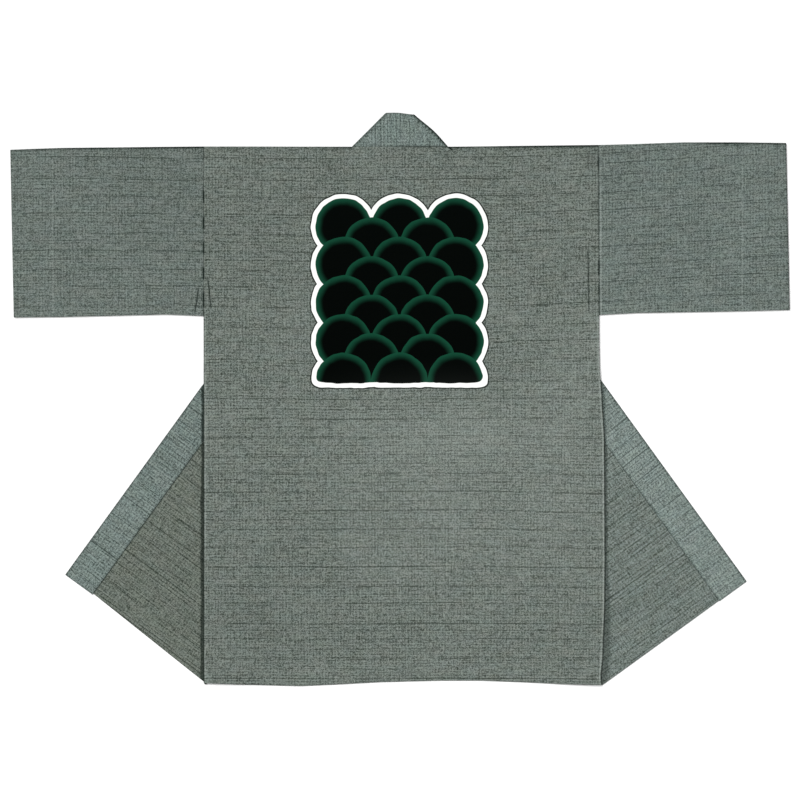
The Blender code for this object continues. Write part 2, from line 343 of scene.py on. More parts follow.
# Dyed design on the back: overlapping wave scales in rows of three and two, from the base up
SCALE_RADIUS = 0.0448
SCALE_PITCH = 0.0309
SCALE_ROWS = 9
SCALE_BASE = 0.004
DESIGN_SHIFT = (0.0008, -0.03, 0)
DESIGN_WAVER = (0.0036, 0.0036, 0)
DESIGN_GLOW = 0.013
DESIGN_BAND = 0.007
DESIGN_RIM = 0.002
DESIGN_SHARP = 0.0004

# Colours: the dark and the pale threads of each cotton, painted shade and painted light on the
# cloth, the design's black, green, undyed band and rim, the sewing thread's two tones, and the
# floor
COTTONS = {
    "back": (0x353C36, 0x7B837D),
    "front_left": (0x303730, 0x747B73),
    "front_right": (0x363D37, 0x7C8681),
    "sleeve_left": (0x38403B, 0x767F7A),
    "sleeve_right": (0x39413D, 0x77817C),
    "collar": (0x38413E, 0x84918C),
}
SHADED = 0x0B1712
PAINTED_LIGHT = 0xDDE6E0
SCALE_BLACK = 0x020403
SCALE_GREEN = 0x103F2D
UNDYED = 0xF6F8F4
RIM = 0x060C09
THREAD_TONES = (0x2A322D, 0x7A847D)
BOARD = 0xF7F7F7

# Stitches in metres, how far they lie from a hem and from the collar's seam, and how far past
# the back's edge those of a folded corner begin
STITCH_SIZES = {"Spacing": 0.0046, "Length": 0.0026, "Width": 0.0006}
HEM_STITCHES = 0.0048
SEAM_STITCHES = 0.0016
STITCHES_FROM = 0.009

# Ends of the rows of stitches: along the back's hem, the collar's seam behind the neck, and
# where the seam's rows down the fronts begin
HEM_ROW = (-0.31, 0.321)
NECK_ROW = (-0.072, 0.072)
FRONT_ROW_FROM = 0.2

# Studio: strength of the even sky; place, spread in degrees and power of the key light; half
# the floor's side; camera in millimetres and metres
SKY_STRENGTH = 0.82
KEY_PLACE = (-1.9, 1.9, 3.2)
KEY_SPREAD = 16
KEY_POWER = 2.1
FLOOR_REACH = 8.0
LENS = 120
SENSOR = 36
CAMERA_PLACE = (0, -0.0008, 4.2687)

# Kinds of node that are used most, and the settings that make a mix one of colours
MATH = "ShaderNodeMath"
VECTOR = "ShaderNodeVectorMath"
NOISE = "ShaderNodeTexNoise"
RANGE = "ShaderNodeMapRange"
XYZ = "ShaderNodeCombineXYZ"
MIX = "ShaderNodeMix"
COLOURS = {"output": 2, "data_type": "RGBA"}


# Lines on the flat cloth

class Line:
    """A straight line with a normal; distances are positive on the normal's side."""

    def __init__(self, point, normal):
        self.point = np.array(point, dtype=float)
        self.normal = np.array(normal, dtype=float) / np.linalg.norm(normal)

    def distance(self, places):
        return (places - self.point) @ self.normal

    def moved(self, distance):
        return Line(self.point + self.normal * distance, self.normal)

    def reflected(self, places):
        return places - 2 * self.distance(places)[..., None] * self.normal

    def mirrored_in(self, mirror):
        foot = mirror.reflected(self.point)
        tip = mirror.reflected(self.point + self.normal)
        return Line(foot, tip - foot)


def slanting_fold(side):
    """The fold of a front, from its foot at the hem up to the neck; normal to the middle."""
    foot = (side.sign * side.fold_foot, HEM_Y)
    return Line(foot, (-side.sign * math.cos(FOLD_ANGLE), -math.sin(FOLD_ANGLE)))


def corner_edge(side):
    """The outer edge of the collar band on the folded corner; normal away from it."""
    front_edge = Line((side.sign * COLLAR_OUTER, NECK_Y), (-side.sign, 0))
    return front_edge.mirrored_in(slanting_fold(side))


def neck_fold(side):
    """Where the collar band turns from the back of the neck down a front."""
    return Line((side.sign * NECK_HALF, NECK_Y), (side.sign, 1))


def shoulder_fold(side):
    """Where the cloth runs over the shoulder; normal up."""
    length = float(body_edge(side, NECK_Y)) - NECK_HALF
    return Line((side.sign * NECK_HALF, NECK_Y), (-side.sign * side.shoulder_rise, length))


# Tables and mixing

def mix(start, end, share):
    return start + (end - start) * share


def smooth(share):
    share = np.clip(share, 0, 1)
    return share * share * (3 - 2 * share)


def read_table(rows, keys, column):
    """Values of a column at some keys, straight between rows and level past the ends."""
    table = np.array(rows)
    return np.interp(keys, table[:, 0], table[:, column])


def body_edge(side, heights):
    """Distance of the body's side edge from the middle."""
    return read_table(BODY_EDGES, heights, 1 if side is LEFT else 2)


def by_side(places, left, right):
    """The left or the right value, by the side on which each place lies."""
    return np.where(places[:, 0] < 0, left, right)


def past_edge(places):
    """Distance of places outside the body's side edge."""
    heights = places[:, 1]
    edges = by_side(places, body_edge(LEFT, heights), body_edge(RIGHT, heights))
    return np.abs(places[:, 0]) - edges


def front_edge(side, heights):
    """Side edge of a front: just inside the back's edge, but out past it at the lip."""
    reach = np.full(np.shape(heights), TUCK)
    if side is LEFT:
        shown = smooth((LIP_TOP - heights) / LIP_RAMP) * smooth((heights - HEM_Y) / LIP_TAPER)
        reach = mix(TUCK, LIP_WIDTH, shown)
    return body_edge(side, heights) + np.where(np.asarray(heights) < TUCK_TOP, reach, 0)


def shoulder_height(x):
    """Height of the shoulder's fold, level across the neck."""
    rises = np.where(x < 0, LEFT.shoulder_rise, RIGHT.shoulder_rise)
    ends = np.where(x < 0, body_edge(LEFT, NECK_Y), body_edge(RIGHT, NECK_Y))
    return NECK_Y + rises * np.clip((np.abs(x) - NECK_HALF) / (ends - NECK_HALF), 0, None)


# Levels of the laid cloth

def edge_drop(distance):
    """Share of a step that is left at a distance outside a folded corner."""
    return 1 - smooth((distance - LEDGE) / EDGE_DROP)


def centre_drop(distance):
    """Share of the lift that is left at a distance inside the slanting fold."""
    return 1 - smooth((distance - LEDGE) / CENTRE_DROP)


def level_one(places):
    """Lift of a front where it lies over its own folded corner."""
    distances = [corner_edge(side).distance(places) for side in SIDES]
    return STEP * edge_drop(by_side(places, *distances))


def level_two(places):
    """Lift of the back and of the neck's collar over the fronts."""
    lifts = []
    for side in SIDES:
        from_fold = slanting_fold(side).distance(places)
        from_collar = COLLAR_OUTER - side.sign * places[:, 0]
        over_corner = edge_drop(corner_edge(side).distance(places))
        lifts.append(STEP * (1 + over_corner) * centre_drop(np.maximum(from_fold, from_collar)))
    return np.maximum(*lifts)


def distance_to_path(places, points):
    """Distance of places from a bent line, and how near they are to its ends, 0 to 1."""
    points = np.array(points, dtype=float)
    lengths = np.linalg.norm(np.diff(points, axis=0), axis=1)
    befores = np.cumsum(lengths) - lengths
    best = np.full(len(places), np.inf)
    along = np.zeros(len(places))
    for start, end, length, before in zip(points, points[1:], lengths, befores):
        share = np.clip((places - start) @ (end - start) / length**2, 0, 1)
        away = np.linalg.norm(places - mix(start, end, share[:, None]), axis=1)
        along = np.where(away < best, before + share * length, along)
        best = np.minimum(away, best)
    total = lengths.sum()
    taper = smooth(np.minimum(along, total - along) / min(0.01, total / 3) + 0.15)
    return best, taper


def soft_humps(places, rows):
    """Sum of soft humps. Columns of the rows: X, height, reach across, reach up, top."""
    total = np.zeros(len(places))
    for x, y, across, up, top in rows:
        away = ((places[:, 0] - x) / across) ** 2 + ((places[:, 1] - y) / up) ** 2
        total += top * np.exp(-away)
    return total


def rumple(places):
    """Rise of the top cloth over its flat lie, from the swells and the creases."""
    rise = RUMPLE_BASE + soft_humps(places, SWELLS)
    for points, half_width, height, _ in CREASES:
        away, taper = distance_to_path(places, points)
        rise += height * taper * np.exp(-((away / (1.6 * half_width)) ** 2))
    return np.maximum(rise, 0.00005)


def laid_height(places, level):
    """Height of the cloth's middle; between two levels it is part way round a fold."""
    one = level_one(places)
    lift = np.where(level <= 1, level * one, mix(one, level_two(places), level - 1))
    share = np.interp(level, *zip(*LEVEL_SHARES))
    return CLOTH / 2 + lift + rumple(places) * share


def fold_over(places, fold):
    """Turn places round a fold; also gives how far down each has turned, 0 to 1."""
    reach = fold.distance(places)
    angle = math.pi * np.clip((reach + FOLD_REACH) / (2 * FOLD_REACH), 0, 1)
    bulge = FOLD_RADIUS * np.sin(angle) - FOLD_REACH
    moved = np.where(reach >= FOLD_REACH, -2 * reach, bulge - reach)
    moved = np.where(reach <= -FOLD_REACH, 0, moved)
    return places + moved[:, None] * fold.normal, (1 - np.cos(angle)) / 2


# Rounded edges, hems and painted shade

def rounded(distance, depth=1):
    """Share of a piece's full puff at a distance from its edge."""
    share = np.clip(distance / EDGE_ROUND, 0, 1)
    return 1 - depth * (1 - share) ** 2


def turned_hem(distance):
    """Share of the hem's rise at a distance from the hem."""
    return smooth((HEM_TURN + HEM_SOFT - distance) / (2 * HEM_SOFT))


def body_relief(puff, from_hem):
    """Rise of a body piece's puff and turned hem over the lie of the cloth."""
    return BODY_PUFF * puff + HEM_RISE * turned_hem(from_hem) * rounded(from_hem)


def shown_on_corner(level, from_edge):
    """Share of the relief on a folded corner, none where the back's edge lies on it."""
    return (level < 0.5) * smooth((from_edge - 0.0005) / 0.004)


def near_line(distance, half_width):
    return np.exp(-((distance / half_width) ** 2))


def hem_lines(from_hem, edge, inner, half_width=0.0009):
    """Painted shade along a hem's edge and along its stitched inner line."""
    return edge * near_line(from_hem, half_width) + inner * near_line(from_hem - HEM_TURN, 0.001)


def puckers(side, heights):
    """Depth of the armhole seam, deeper where the seam puckers."""
    depth = np.full(len(heights), SEAM_DEPTH if side is LEFT else 1.4 * SEAM_DEPTH)
    for top, bottom, deep in LEFT_PUCKERS if side is LEFT else RIGHT_PUCKERS:
        from_end = (top - bottom) / 2 - np.abs(heights - (top + bottom) / 2)
        depth = np.maximum(depth, deep * smooth(from_end / 0.004 + 0.5))
    return depth


def wavering(places, scale=1.0):
    """Slow waver along the cloth, about 0, for lines that aren't quite even."""
    x, y = places[:, 0], places[:, 1]
    return 0.5 * scale * (np.sin(61 * y + 23 * x) + np.sin(143 * y - 37 * x + 1.3))


def shade_and_tone(places):
    """Painted shade and light of the broad patches, which are partly uneven dye, and painted shade
    along the creases.
    """
    dark = soft_humps(places, SHADE_AND_DYE_PATCHES)
    for points, half_width, _, deep in CREASES:
        away, taper = distance_to_path(places, points)
        dark += deep * taper * near_line(away, half_width)
    return dark


def weft_slant(flat):
    """How far the weft climbs towards the right, on the upper cloth alone."""
    climb = WEFT_SLANT * np.clip(flat[:, 0] - SLANT_FROM, 0, None)
    return climb * smooth((flat[:, 1] - SLANT_FOOT) / SLANT_RAMP)


def shade_beside_back(places):
    """Dark line and softer band on the folded corner along the body's edge."""
    from_edge = past_edge(places)
    shadow = Shadow(*(by_side(places, *pair) for pair in zip(LEFT_SHADOW, RIGHT_SHADOW)))
    low = smooth((shadow.below - places[:, 1]) / SHADOW_CHANGE)
    frayed = np.sin(790 * places[:, 1]) * np.sin(310 * places[:, 1] + 1.0)
    line = (shadow.line + 0.07 * frayed) * near_line(from_edge - 0.0003, 0.0011)
    width = mix(shadow.width, shadow.low_width, low)
    width = width + 0.0007 * wavering(places) + 0.0006 * frayed
    blur = mix(shadow.blur, shadow.low_blur, low)
    return np.maximum(line, shadow.band * smooth((width - from_edge) / blur + 0.5))


# Cutting blanks

def spaced(length, last=EDGE_CELLS):
    """Distances along a length in metres, close at both ends and one cell apart between."""
    middle = length - EDGE_CELLS[-1] - last[-1]
    steps = max(1, round(middle / CELL))
    between = EDGE_CELLS[-1] + middle * np.arange(1, steps) / steps
    return np.concatenate([EDGE_CELLS, between, length - np.array(last)[::-1]])


def new_blank(columns, rows, place_at):
    """A sheet of cells on two sets of shares, shaped by a function of both."""
    across, up = np.meshgrid(columns, rows)
    flat = place_at(across.ravel(), up.ravel())
    count = len(columns)
    corner = (np.arange(len(rows) - 1)[:, None] * count + np.arange(count - 1)).ravel()
    cells = np.stack([corner, corner + 1, corner + 1 + count, corner + count], axis=1)
    mesh = bpy.data.meshes.new("blank")
    mesh.from_pydata(np.column_stack([flat, np.zeros(len(flat))]).tolist(), [], cells.tolist())
    blank = bmesh.new()
    blank.from_mesh(mesh)
    bpy.data.meshes.remove(mesh)
    return blank


def faces_in(blank, where):
    centres = np.array([face.calc_center_median().xy for face in blank.faces])
    return [face for face, inside in zip(blank.faces, where(centres)) if inside]


def everywhere(places):
    return np.ones(len(places), dtype=bool)


def cut(blank, line, where):
    """Score the faces of a blank along a line, in the part of it that a test gives."""
    def beside_line(places):
        return where(places) & (np.abs(line.distance(places)) < 2 * CELL)

    faces = faces_in(blank, beside_line)
    bmesh.ops.bisect_plane(
        blank,
        geom=[*{v for f in faces for v in f.verts}, *{e for f in faces for e in f.edges}, *faces],
        dist=0.00001,
        plane_co=(*line.point, 0),
        plane_no=(*line.normal, 0),
    )


def cut_fold(blank, fold, where):
    """Score the round turn of a fold."""
    for index in range(FOLD_SEGMENTS + 1):
        cut(blank, fold.moved(mix(-FOLD_REACH, FOLD_REACH, index / FOLD_SEGMENTS)), where)


def trim_beyond(blank, line, where):
    """Cut along a line and take away what lies beyond it, in the part that a test gives."""
    cut(blank, line, where)
    beyond = faces_in(blank, lambda places: where(places) & (line.distance(places) > 0))
    bmesh.ops.delete(blank, geom=beyond, context="FACES")


def make_finer(blank, lay, near, times=2):
    """Halve the cells where their laid places pass a test."""
    for _ in range(times):
        faces = faces_in(blank, lambda flat: near(lay(flat)[0]))
        edges = {edge for face in faces for edge in face.edges}
        bmesh.ops.subdivide_edges(blank, edges=list(edges), cuts=1, use_grid_fill=True)


def near_creases(places):
    inside = np.zeros(len(places), dtype=bool)
    for points, half_width, _, _ in CREASES:
        inside |= distance_to_path(places, points)[0] < 3 * half_width + 0.002
    return inside


def near_body_edge(places):
    from_edge = past_edge(places)
    beside = (from_edge > BESIDE_EDGE[0]) & (from_edge < BESIDE_EDGE[1])
    return beside & (places[:, 1] < BESIDE_TOP)


def stitch_path(flat, lay, dress, shown=None):
    """Points just on top of the cloth along a path over the flat cut, where it shows."""
    places, level, _ = lay(flat)
    heights, _ = dress(flat, places, level)
    path = np.column_stack([places, heights + CLOTH / 2])
    return path if shown is None else path[shown(places, level)]


def on_folded_corner(places, level):
    return (level < 0.01) & (past_edge(places) > STITCHES_FROM)


def add_object(name, data):
    made = bpy.data.objects.new(name, data)
    bpy.context.scene.collection.objects.link(made)
    return made


def finish_piece(name, blank, lay, dress, material, weave_turned=False, merge=False):
    """Lay a cut blank, and give it its weave map, its painted shade and light, its wall and its
    finish.
    """
    bmesh.ops.triangulate(blank, faces=blank.faces)
    mesh = bpy.data.meshes.new(name)
    blank.to_mesh(mesh)
    blank.free()
    flat = np.zeros(3 * len(mesh.vertices))
    mesh.vertices.foreach_get("co", flat)
    flat = flat.reshape(-1, 3)[:, :2]
    places, level, woven = lay(flat)
    heights, dark = dress(flat, places, level)
    mesh.vertices.foreach_set("co", np.column_stack([places, heights]).ravel())
    corners = np.zeros(len(mesh.loops), dtype=int)
    mesh.loops.foreach_get("vertex_index", corners)
    weave = mesh.uv_layers.new(name="weave")
    threads = woven[:, ::-1] if weave_turned else woven
    weave.data.foreach_set("uv", threads[corners].ravel())
    shade = mesh.attributes.new("shade", "FLOAT", "POINT")
    shade.data.foreach_set("value", dark)
    if merge:
        tube = bmesh.new()
        tube.from_mesh(mesh)
        bmesh.ops.remove_doubles(tube, verts=tube.verts, dist=0.000001)
        bmesh.ops.recalc_face_normals(tube, faces=tube.faces)
        tube.to_mesh(mesh)
        tube.free()
    mesh.shade_smooth()
    mesh.materials.append(material)
    piece = add_object("cloth_" + name, mesh)
    wall = piece.modifiers.new("wall", "SOLIDIFY")
    wall.thickness = CLOTH
    wall.offset = 0
    wall.use_quality_normals = True
    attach(piece, "root")
    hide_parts(name)
    return piece


# The back

def lay_back(flat):
    places = flat.copy()
    turned = np.zeros(len(flat))
    for side in SIDES:
        over = side.sign * flat[:, 0] > NECK_HALF
        places[over], turned[over] = fold_over(flat[over], shoulder_fold(side))
    return places, 2 - turned, flat - np.column_stack([0 * turned, weft_slant(flat)])


def dress_back(flat, places, level):
    x, y = flat[:, 0], flat[:, 1]
    from_side = -past_edge(flat)
    from_hem = y - read_table(BACK_HEM, x, 1)
    below_top = np.where(np.abs(x) < NECK_HALF + GAP, NECK_Y - y, 1)
    at_armhole = smooth((y - ARMHOLE_FOOT) / ARMHOLE_BLEND)
    seam = by_side(flat, puckers(LEFT, y), puckers(RIGHT, y))
    depth = mix(1, seam, at_armhole)
    puff = rounded(from_side, depth) * rounded(from_hem) * rounded(below_top)
    heights = laid_height(places, level) + np.clip(level - 1, 0, 1) * body_relief(puff, from_hem)
    # Painted shade in the creases and patches, in the armhole seam's puckers, along the back's
    # side edge, the hem, the neck's seam and the shoulders' fold, and a painted highlight strip
    # inside the side edge
    dark = shade_and_tone(places)
    dark += at_armhole * seam * near_line(from_side, 0.0007 + 0.0008 * seam)
    highlight = by_side(flat, *HIGHLIGHT_STRIPS) * near_line(from_side - by_side(flat, *HIGHLIGHT_INSETS), 0.0011)
    edge_line = by_side(flat, *EDGE_LINES) * near_line(from_side, by_side(flat, *EDGE_WIDTHS))
    dark += (1 - at_armhole) * (edge_line - highlight) + hem_lines(from_hem, 0.35, 0.14)
    dark += (0.45 + 0.25 * wavering(flat, 1.3)) * near_line(below_top, 0.001)
    from_shoulder = np.where(np.abs(x) > NECK_HALF, shoulder_height(x) - places[:, 1], 1)
    dark += read_table(SHOULDER_LINE, x, 1) * near_line(from_shoulder - 0.0008, 0.0025)
    return heights, dark


def make_back(material):
    length = NECK_Y - HEM_Y + FOLD_REACH
    width = 2 * BODY_EDGES[-1][1]
    roll = tuple(2 * FOLD_REACH * step / FOLD_SEGMENTS for step in range(FOLD_SEGMENTS + 1))
    rows = spaced(length, last=roll + (0.0036, 0.005, 0.0075, 0.011))

    def back_place(across, up):
        height = mix(HEM_Y, NECK_Y, up)
        x = mix(-body_edge(LEFT, height), body_edge(RIGHT, height), across)
        hem = read_table(BACK_HEM, x, 1)
        return np.column_stack([x, mix(hem, shoulder_height(x) + FOLD_REACH, up)])

    blank = new_blank(spaced(width) / width, rows / length, back_place)
    tab_end = NECK_HALF + GAP
    seam_y = NECK_Y - GAP / 2
    for side in SIDES:
        end = Line((side.sign * tab_end, NECK_Y), (side.sign, 0))
        cut(blank, end, lambda places: places[:, 1] > NECK_Y - 0.02)
    trim_beyond(blank, Line((0, seam_y), (0, 1)), lambda places: np.abs(places[:, 0]) < tab_end)
    for side in SIDES:
        corner = (side.sign * tab_end, seam_y - NECK_EASE_Y)
        ease = Line(corner, (side.sign * NECK_EASE_Y, NECK_EASE_X))
        trim_beyond(blank, ease, lambda places: np.abs(places[:, 0]) < tab_end)
    make_finer(blank, lay_back, near_creases, times=3)
    x = np.linspace(*HEM_ROW, 400)
    hem = np.column_stack([x, read_table(BACK_HEM, x, 1) + HEM_STITCHES])
    back = finish_piece("back", blank, lay_back, dress_back, material)
    return back, [stitch_path(hem, lay_back, dress_back)]


# The fronts

def make_front(side, material):
    fold = slanting_fold(side)
    seam = FOLD_REACH + GAP
    offset = np.array([FRONT_THREADS * side.sign, 0])

    def lay(flat):
        places, turned = fold_over(flat, fold)
        return places, 1 - turned, flat + offset

    def dress(flat, places, level):
        from_collar = np.abs(flat[:, 0]) - NECK_HALF - GAP / 2
        hem = mix(side.hem_at_collar, side.hem_at_side, np.clip(from_collar / 0.24, 0, 1))
        from_hem = np.minimum(flat[:, 1] - hem, places[:, 1] - side.lowest)
        band = shade_beside_back(places)
        from_lip = np.abs(places[:, 0]) - front_edge(side, places[:, 1])
        on_corner = shown_on_corner(level, np.minimum(from_lip, past_edge(places)))
        relief = body_relief(rounded(from_collar) * rounded(from_hem), from_hem)
        heights = laid_height(places, level) + on_corner * relief
        # Painted shade in the collar's seam and along the hem, and the back's painted shadow on
        # the folded corner
        line = SEAM_LINES[side is RIGHT] * near_line(from_collar, 0.0008)
        line += hem_lines(from_hem, 0.4, 0.16)
        return heights, np.where(level < 0.5, np.maximum(line, band), band)

    def front_place(across, up):
        height = mix(side.hem_at_side, NECK_Y, up)
        x = side.sign * mix(NECK_HALF + GAP / 2, front_edge(side, height), across)
        hem = mix(side.hem_at_collar, side.hem_at_side, across)
        return np.column_stack([x, mix(hem, shoulder_height(x) - seam, up)])

    width = float(body_edge(side, 0)) - NECK_HALF
    length = NECK_Y - HEM_Y
    blank = new_blank(spaced(width) / width, spaced(length) / length, front_place)
    make_finer(blank, lay, near_body_edge)
    cut_fold(blank, fold, everywhere)
    lowest = Line((0, side.lowest), (0, -1))
    trim_beyond(blank, lowest, lambda places: fold.distance(places) < 0)
    trim_beyond(blank, lowest.mirrored_in(fold), lambda places: fold.distance(places) > 0)
    share = np.linspace(0.003, 0.997, 300)
    x = side.sign * mix(NECK_HALF, float(body_edge(side, HEM_Y)), share)
    hem = mix(side.hem_at_collar, side.hem_at_side, share)
    hem = np.column_stack([x, hem + HEM_STITCHES])
    front = finish_piece("front_" + side.name, blank, lay, dress, material)
    return front, [stitch_path(hem, lay, dress, on_folded_corner)]


# The collar band

def lay_collar(flat):
    places = flat.copy()
    level = np.full(len(flat), 2.0)
    for side in SIDES:
        own = (flat[:, 0] < 0) == (side is LEFT)
        turn = neck_fold(side)
        beyond = turn.distance(flat[own]) >= FOLD_REACH
        down, first = fold_over(flat[own], turn)
        under, second = fold_over(down, slanting_fold(side))
        places[own] = np.where(beyond[:, None], under, down)
        level[own] = 2 - first - np.where(beyond, second, 0)
    rise = np.clip((places[:, 1] - NECK_Y) / COLLAR_WIDTH, 0, 1)
    places[:, 0] += NECK_BULGE * np.sin(math.pi * rise) * smooth(places[:, 0] / 0.03)
    places[:, 1] -= NECK_SAG * smooth(rise / 0.6 - 0.6) * smooth((places[:, 0] + 0.006) / 0.028)
    return places, level, flat + np.array([0, COLLAR_THREADS])


def dress_collar(flat, places, level):
    up = flat[:, 1] - NECK_Y
    from_seam = up - GAP / 2
    from_fold = COLLAR_WIDTH - up
    from_end = by_side(flat, LEFT.collar_end, RIGHT.collar_end) - np.abs(flat[:, 0])
    past_turn = np.maximum(*(neck_fold(side).distance(flat) for side in SIDES))
    from_turn = -past_turn - FOLD_REACH
    at_neck = level > 1.5
    on_corner = shown_on_corner(level, past_edge(places))
    shown = np.where(at_neck, smooth(from_turn / 0.005), on_corner)
    puff = rounded(from_seam) * rounded(from_fold) * rounded(np.where(at_neck, 1, from_end))
    heights = laid_height(places, level) + COLLAR_PUFF * puff * shown
    # Painted shade in the seams, along the top fold, at the turn and at the end, and the back's
    # painted shadow on the folded corners
    neck_seam = 0.55 + 0.3 * wavering(flat, 1.3)
    seam = np.where(at_neck, neck_seam, by_side(flat, *SEAM_LINES))
    seam_width = np.where(at_neck, 0.0011, 0.0008)
    at_turn = by_side(flat, 0.6, 1.0) * near_line(from_turn, 0.0016)
    lines = (
        seam * near_line(from_seam, seam_width),
        0.8 * near_line(from_fold, 0.0013),
        np.where(at_neck, at_turn, 0.45 * near_line(from_end, 0.001)),
        np.where(at_neck, shade_and_tone(places), shade_beside_back(places)),
    )
    dark = np.maximum.reduce(lines)
    return heights, dark + np.where(at_neck, 0, by_side(flat, *CORNER_TONES))


def make_collar(material):
    length = LEFT.collar_end + RIGHT.collar_end

    def collar_place(across, up):
        return np.column_stack([
            mix(-LEFT.collar_end, RIGHT.collar_end, across),
            NECK_Y + mix(GAP / 2, COLLAR_WIDTH, up),
        ])

    blank = new_blank(spaced(length) / length, spaced(COLLAR_WIDTH) / COLLAR_WIDTH, collar_place)
    make_finer(blank, lay_collar, near_body_edge)
    for side in SIDES:
        turn = neck_fold(side)
        fold_on_band = slanting_fold(side).mirrored_in(turn)
        cut_fold(blank, turn, lambda places: side.sign * places[:, 0] > 0)

        def beyond_turn(places):
            return (side.sign * places[:, 0] > 0) & (turn.distance(places) > 0)

        cut_fold(blank, fold_on_band, beyond_turn)
    collar = finish_piece("collar", blank, lay_collar, dress_collar, material, weave_turned=True)
    paths = []
    for start, end, shown in (
        (*NECK_ROW, None),
        (-FRONT_ROW_FROM, -LEFT.collar_end, on_folded_corner),
        (FRONT_ROW_FROM, RIGHT.collar_end, on_folded_corner),
    ):
        x = np.linspace(start, end, 900)
        seam = np.column_stack([x, np.full(len(x), NECK_Y + SEAM_STITCHES)])
        paths.append(stitch_path(seam, lay_collar, dress_collar, shown))
    return collar, paths


# The sleeves

def sleeve_section(around, upper, lower):
    """Y, Z from the tube's middle, and thread height, going down the top and round."""
    part = np.minimum(np.floor(around), 3)
    share = around - part
    turn = math.pi * share
    drop = math.pi * FOLD_RADIUS
    width = upper - lower
    picks = [part == index for index in range(4)]
    y = np.select(picks, [
        upper - share * width,
        lower - FOLD_RADIUS * np.sin(turn),
        lower + share * width,
        upper + FOLD_RADIUS * np.sin(turn),
    ])
    z = FOLD_RADIUS * np.select(picks, [1 + 0 * turn, np.cos(turn), -1 + 0 * turn, -np.cos(turn)])
    thread = np.select(picks, [
        upper - share * width,
        lower - share * drop,
        lower - drop - share * width,
        lower - drop - width - share * drop,
    ])
    return y, z, thread


def make_sleeve(side, material):
    column = 1 if side is LEFT else 3
    offset = np.array([SLEEVE_THREADS * side.sign, 0])

    def upper_edge_of(share):
        return read_table(SLEEVE_EDGES, share, column)

    def lay(flat):
        share, around = flat[:, 0], flat[:, 1]
        upper_edge = upper_edge_of(share)
        lower_edge = read_table(SLEEVE_EDGES, share, column + 1)
        y, z, thread = sleeve_section(around, upper_edge - FOLD_REACH, lower_edge + FOLD_REACH)
        cuff = mix(side.cuff_bottom, side.cuff_top, (y - lower_edge) / (upper_edge - lower_edge))
        x = side.sign * mix(body_edge(side, y) + GAP, cuff, share)
        thread = thread - WEFT_SLANT * np.clip(x - SLANT_FROM, 0, None)
        return np.column_stack([x, y]), 1 + z / FOLD_RADIUS, np.column_stack([x, thread]) + offset

    def dress(flat, places, level):
        x, y = places[:, 0], places[:, 1]
        top = level / 2
        from_armhole = np.abs(x) - body_edge(side, y) - GAP
        from_cuff = (1 - flat[:, 0]) * SLEEVE_LENGTH
        seam = puckers(side, y)
        puff = rounded(from_armhole, seam) * rounded(from_cuff)
        share = mix(LEVEL_SHARES[0][1], 1, top)
        lie = CLOTH / 2 + STEP * top + rumple(places) * share
        heights = lie + top * body_relief(puff, from_cuff)
        # Painted shade in the creases and patches, in the armhole seam, round the folds, on the
        # cuff's edge and along the top edge
        dark = shade_and_tone(places) * top
        dark += seam * near_line(from_armhole, 0.0007 + 0.0008 * seam)
        if side is RIGHT:
            # Painted highlight beside the right armhole seam
            dark -= 0.16 * near_line(from_armhole - 0.0026, 0.0012)
        dark += hem_lines(from_cuff, CUFF_LINES[side is RIGHT], 0.1, 0.0012)
        dark += 0.35 * np.clip(1 - np.abs(level - 1), 0, 1)
        top_line = read_table(SLEEVE_LINE, flat[:, 0], 1 if side is LEFT else 2)
        dark += top_line * near_line(upper_edge_of(flat[:, 0]) - y - 0.001, 0.0022)
        return heights, dark

    around = np.concatenate([
        spaced(SLEEVE_DEPTH)[:-1] / SLEEVE_DEPTH,
        1 + np.arange(FOLD_SEGMENTS) / FOLD_SEGMENTS,
        2 + np.arange(UNDER_CELLS) / UNDER_CELLS,
        3 + np.arange(FOLD_SEGMENTS + 1) / FOLD_SEGMENTS,
    ])
    along = spaced(SLEEVE_LENGTH) / SLEEVE_LENGTH

    def at_low_creases(places):
        return near_creases(places) & (places[:, 1] < SLEEVE_FINE_TOP)

    blank = new_blank(along, around, lambda across, up: np.column_stack([across, up]))
    make_finer(blank, lay, at_low_creases, times=3)
    share = np.linspace(0.01, 0.99, 200)
    cuff = np.column_stack([0 * share + 1 - HEM_STITCHES / SLEEVE_LENGTH, share])
    sleeve = finish_piece("sleeve_" + side.name, blank, lay, dress, material, merge=True)
    return sleeve, [stitch_path(cuff, lay, dress)]


# Finishes

def linear(colour):
    """A six-digit sRGB hex colour as linear shares, with full opacity."""
    shares = [(colour >> shift & 255) / 255 for shift in (16, 8, 0)]
    return (*(s / 12.92 if s <= 0.04045 else ((s + 0.055) / 1.055) ** 2.4 for s in shares), 1)


def add(tree, kind, inputs=(), operation=None, output=0, **settings):
    """Add a node with its settings; each input is a value or another node's output."""
    made = tree.nodes.new(kind)
    if operation:
        made.operation = operation
    for name, value in settings.items():
        setattr(made, name, value)
    for name, value in inputs.items() if isinstance(inputs, dict) else enumerate(inputs):
        if isinstance(value, bpy.types.NodeSocket):
            tree.links.new(value, made.inputs[name])
        else:
            made.inputs[name].default_value = value
    return made.outputs[output] if made.outputs else None


def new_material(name):
    material = bpy.data.materials.new(name)
    material.use_nodes = True
    material.node_tree.nodes.clear()
    return material, material.node_tree


def spotted(tree, threads, value, spots):
    """Change a value by soft spots. Each row of spots gives reach across, reach up, depth."""
    for across, up, depth in spots:
        place = add(tree, VECTOR, (threads, (across, up, 1)), "DIVIDE")
        patch = {"Vector": place, "Scale": 1.0, "Detail": 0.0}
        spot = add(tree, NOISE, patch, noise_dimensions="2D")
        about = add(tree, MATH, (spot, 0.5), "SUBTRACT")
        value = add(tree, MATH, (about, depth, value), "MULTIPLY_ADD")
    return value


